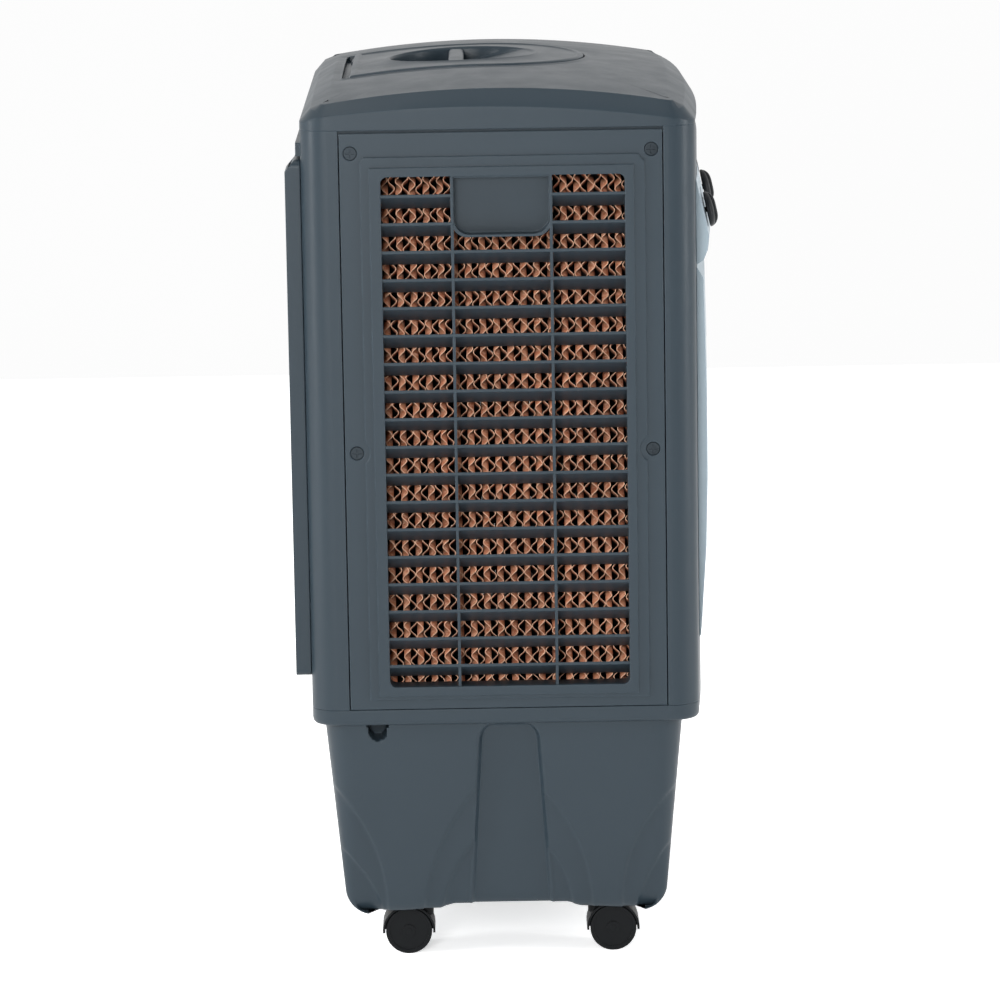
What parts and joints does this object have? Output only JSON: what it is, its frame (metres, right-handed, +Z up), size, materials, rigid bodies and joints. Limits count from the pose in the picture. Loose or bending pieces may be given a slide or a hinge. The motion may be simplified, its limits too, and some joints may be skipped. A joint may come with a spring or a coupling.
{
  "type": "evaporative cooler",
  "caption": "Rolling evaporative air cooler: water tank on swivel casters, louvred pad grilles, hinged filling lid, fan and swinging outlet louvres.",
  "frame": {"origin": "on the floor, under the middle of the whole object's box", "axes": "+Z up; -Y is the front with the controls and the air outlet, +Y the rear grille; X runs across the width"},
  "size_m": [0.618, 0.4646, 0.9576],
  "materials": {
    "cabinet_plastic": "moulded, fine texture",
    "tank_plastic": "moulded, fine texture",
    "dark_plastic": "moulded",
    "louver_plastic": "moulded",
    "fascia_plastic": "satin silver paint",
    "knob_plastic": "satin moulded",
    "pad_cellulose": "corrugated cellulose",
    "screw_metal": "black oxide",
    "steel": "plain",
    "pump_plastic": "moulded",
    "float_plastic": "moulded",
    "clear_window": "clear moulded",
    "caster_plastic": "moulded",
    "wheel_plastic": "satin moulded"
  },
  "bodies": {
    "cabinet": {"water_tank": "tank_plastic", "drain_plug": "dark_plastic", "level_window": "clear_window", "front_housing": "cabinet_plastic", "rear_housing": "cabinet_plastic", "top_cover": "cabinet_plastic", "ice_basin": "dark_plastic", "lid_hinge_pins": "steel", "side_grille_left": "cabinet_plastic", "side_grille_right": "cabinet_plastic", "rear_grille": "cabinet_plastic", "grille_screws": "screw_metal", "cooling_pad_left": "pad_cellulose", "cooling_pad_right": "pad_cellulose", "cooling_pad_rear": "pad_cellulose", "water_distributor": "dark_plastic", "pump": "pump_plastic", "riser_pipe": "dark_plastic", "float_valve": "pump_plastic", "fan_shroud": "dark_plastic", "motor_bracket": "steel", "fan_motor": "steel", "outlet_bezel": "fascia_plastic", "control_panel": "fascia_plastic", "rotary_switches": "dark_plastic", "electrical_box": "pump_plastic", "swing_motor": "steel", "cord_gland": "dark_plastic"},
    "lid": {"top_lid": "cabinet_plastic"},
    "speed_knob": {"knob_speed": "knob_plastic"},
    "function_knob": {"knob_function": "knob_plastic"},
    "timer_knob": {"knob_timer": "knob_plastic"},
    "fan_rotor": {"fan_shaft": "steel", "fan_impeller": "dark_plastic"},
    "float": {"float_arm": "steel", "float_ball": "float_plastic"},
    "louver_1": {"horizontal_louver_1": "louver_plastic"},
    "louver_2": {"horizontal_louver_2": "louver_plastic"},
    "louver_3": {"horizontal_louver_3": "louver_plastic"},
    "louver_4": {"horizontal_louver_4": "louver_plastic"},
    "louver_5": {"horizontal_louver_5": "louver_plastic"},
    "louver_6": {"horizontal_louver_6": "louver_plastic"},
    "louver_link": {"louver_link": "dark_plastic"},
    "vane_1": {"vertical_vane_1": "louver_plastic"},
    "vane_2": {"vertical_vane_2": "louver_plastic"},
    "vane_3": {"vertical_vane_3": "louver_plastic"},
    "vane_4": {"vertical_vane_4": "louver_plastic"},
    "vane_5": {"vertical_vane_5": "louver_plastic"},
    "vane_6": {"vertical_vane_6": "louver_plastic"},
    "vane_link": {"vane_link": "dark_plastic"},
    "caster_1": {"caster_fork_1": "caster_plastic"},
    "wheels_1": {"caster_wheels_1": "wheel_plastic"},
    "caster_2": {"caster_fork_2": "caster_plastic"},
    "wheels_2": {"caster_wheels_2": "wheel_plastic"},
    "caster_3": {"caster_fork_3": "caster_plastic"},
    "wheels_3": {"caster_wheels_3": "wheel_plastic"},
    "caster_4": {"caster_fork_4": "caster_plastic"},
    "wheels_4": {"caster_wheels_4": "wheel_plastic"}
  },
  "joints": [
    {"name": "lid_hinge", "type": "hinge", "parent": "cabinet", "child": "lid", "pos_m": [0, 0.1658, 0.938], "axis": [-1, 0, 0], "range_deg": [0, 100]},
    {"name": "speed_knob_turn", "type": "hinge", "parent": "cabinet", "child": "speed_knob", "pos_m": [-0.205, -0.21167, 0.803], "axis": [0, 0.9774, -0.2113], "range_deg": [0, 135]},
    {"name": "function_knob_turn", "type": "hinge", "parent": "cabinet", "child": "function_knob", "pos_m": [0, -0.218, 0.803], "axis": [0, 0.9774, -0.2113], "range_deg": [0, 180]},
    {"name": "timer_knob_turn", "type": "hinge", "parent": "cabinet", "child": "timer_knob", "pos_m": [0.205, -0.21167, 0.803], "axis": [0, 0.9774, -0.2113], "range_deg": [0, 300]},
    {"name": "fan_spin", "type": "hinge", "parent": "cabinet", "child": "fan_rotor", "pos_m": [0, -0.0982, 0.515], "axis": [0, 1, 0], "continuous": true},
    {"name": "float_hinge", "type": "hinge", "parent": "cabinet", "child": "float", "pos_m": [0.264, 0.1458, 0.245], "axis": [0, 1, 0], "range_deg": [0, 25]},
    {"name": "louver_1_tilt", "type": "hinge", "parent": "cabinet", "child": "louver_1", "pos_m": [0, -0.1842, 0.395], "axis": [1, 0, 0], "range_deg": [-35, 35]},
    {"name": "louver_2_tilt", "type": "hinge", "parent": "cabinet", "child": "louver_2", "pos_m": [0, -0.1842, 0.443], "axis": [1, 0, 0], "range_deg": [-35, 35]},
    {"name": "louver_3_tilt", "type": "hinge", "parent": "cabinet", "child": "louver_3", "pos_m": [0, -0.1842, 0.491], "axis": [1, 0, 0], "range_deg": [-35, 35]},
    {"name": "louver_4_tilt", "type": "hinge", "parent": "cabinet", "child": "louver_4", "pos_m": [0, -0.1842, 0.539], "axis": [1, 0, 0], "range_deg": [-35, 35]},
    {"name": "louver_5_tilt", "type": "hinge", "parent": "cabinet", "child": "louver_5", "pos_m": [0, -0.1842, 0.587], "axis": [1, 0, 0], "range_deg": [-35, 35]},
    {"name": "louver_6_tilt", "type": "hinge", "parent": "cabinet", "child": "louver_6", "pos_m": [0, -0.1842, 0.635], "axis": [1, 0, 0], "range_deg": [-35, 35]},
    {"name": "louver_link_pivot", "type": "hinge", "parent": "louver_1", "child": "louver_link", "pos_m": [0.06, -0.1692, 0.395], "axis": [1, 0, 0], "range_deg": [-35, 35]},
    {"name": "vane_1_swing", "type": "hinge", "parent": "cabinet", "child": "vane_1", "pos_m": [-0.15, -0.1422, 0.515], "axis": [0, 0, 1], "range_deg": [-35, 35]},
    {"name": "vane_2_swing", "type": "hinge", "parent": "cabinet", "child": "vane_2", "pos_m": [-0.09, -0.1422, 0.515], "axis": [0, 0, 1], "range_deg": [-35, 35]},
    {"name": "vane_3_swing", "type": "hinge", "parent": "cabinet", "child": "vane_3", "pos_m": [-0.03, -0.1422, 0.515], "axis": [0, 0, 1], "range_deg": [-35, 35]},
    {"name": "vane_4_swing", "type": "hinge", "parent": "cabinet", "child": "vane_4", "pos_m": [0.03, -0.1422, 0.515], "axis": [0, 0, 1], "range_deg": [-35, 35]},
    {"name": "vane_5_swing", "type": "hinge", "parent": "cabinet", "child": "vane_5", "pos_m": [0.09, -0.1422, 0.515], "axis": [0, 0, 1], "range_deg": [-35, 35]},
    {"name": "vane_6_swing", "type": "hinge", "parent": "cabinet", "child": "vane_6", "pos_m": [0.15, -0.1422, 0.515], "axis": [0, 0, 1], "range_deg": [-35, 35]},
    {"name": "vane_link_pivot", "type": "hinge", "parent": "vane_1", "child": "vane_link", "pos_m": [-0.15, -0.1292, 0.515], "axis": [0, 0, 1], "range_deg": [-35, 35]},
    {"name": "caster_1_swivel", "type": "hinge", "parent": "cabinet", "child": "caster_1", "pos_m": [-0.226, 0.1028, 0.06], "axis": [0, 0, 1], "continuous": true},
    {"name": "wheels_1_roll", "type": "hinge", "parent": "caster_1", "child": "wheels_1", "pos_m": [-0.226, 0.1178, 0.025], "axis": [1, 0, 0], "continuous": true},
    {"name": "caster_2_swivel", "type": "hinge", "parent": "cabinet", "child": "caster_2", "pos_m": [0.226, 0.1028, 0.06], "axis": [0, 0, 1], "continuous": true},
    {"name": "wheels_2_roll", "type": "hinge", "parent": "caster_2", "child": "wheels_2", "pos_m": [0.226, 0.1178, 0.025], "axis": [1, 0, 0], "continuous": true},
    {"name": "caster_3_swivel", "type": "hinge", "parent": "cabinet", "child": "caster_3", "pos_m": [-0.226, -0.0892, 0.06], "axis": [0, 0, 1], "continuous": true},
    {"name": "wheels_3_roll", "type": "hinge", "parent": "caster_3", "child": "wheels_3", "pos_m": [-0.226, -0.1042, 0.025], "axis": [1, 0, 0], "continuous": true},
    {"name": "caster_4_swivel", "type": "hinge", "parent": "cabinet", "child": "caster_4", "pos_m": [0.226, -0.0892, 0.06], "axis": [0, 0, 1], "continuous": true},
    {"name": "wheels_4_roll", "type": "hinge", "parent": "caster_4", "child": "wheels_4", "pos_m": [0.226, -0.1042, 0.025], "axis": [1, 0, 0], "continuous": true}
  ],
  "couplings": [
    {"joint": "louver_2_tilt", "follows": "louver_1_tilt", "ratio": 1},
    {"joint": "louver_3_tilt", "follows": "louver_1_tilt", "ratio": 1},
    {"joint": "louver_4_tilt", "follows": "louver_1_tilt", "ratio": 1},
    {"joint": "louver_5_tilt", "follows": "louver_1_tilt", "ratio": 1},
    {"joint": "louver_6_tilt", "follows": "louver_1_tilt", "ratio": 1},
    {"joint": "louver_link_pivot", "follows": "louver_1_tilt", "ratio": -1},
    {"joint": "vane_2_swing", "follows": "vane_1_swing", "ratio": 1},
    {"joint": "vane_3_swing", "follows": "vane_1_swing", "ratio": 1},
    {"joint": "vane_4_swing", "follows": "vane_1_swing", "ratio": 1},
    {"joint": "vane_5_swing", "follows": "vane_1_swing", "ratio": 1},
    {"joint": "vane_6_swing", "follows": "vane_1_swing", "ratio": 1},
    {"joint": "vane_link_pivot", "follows": "vane_1_swing", "ratio": -1}
  ]
}
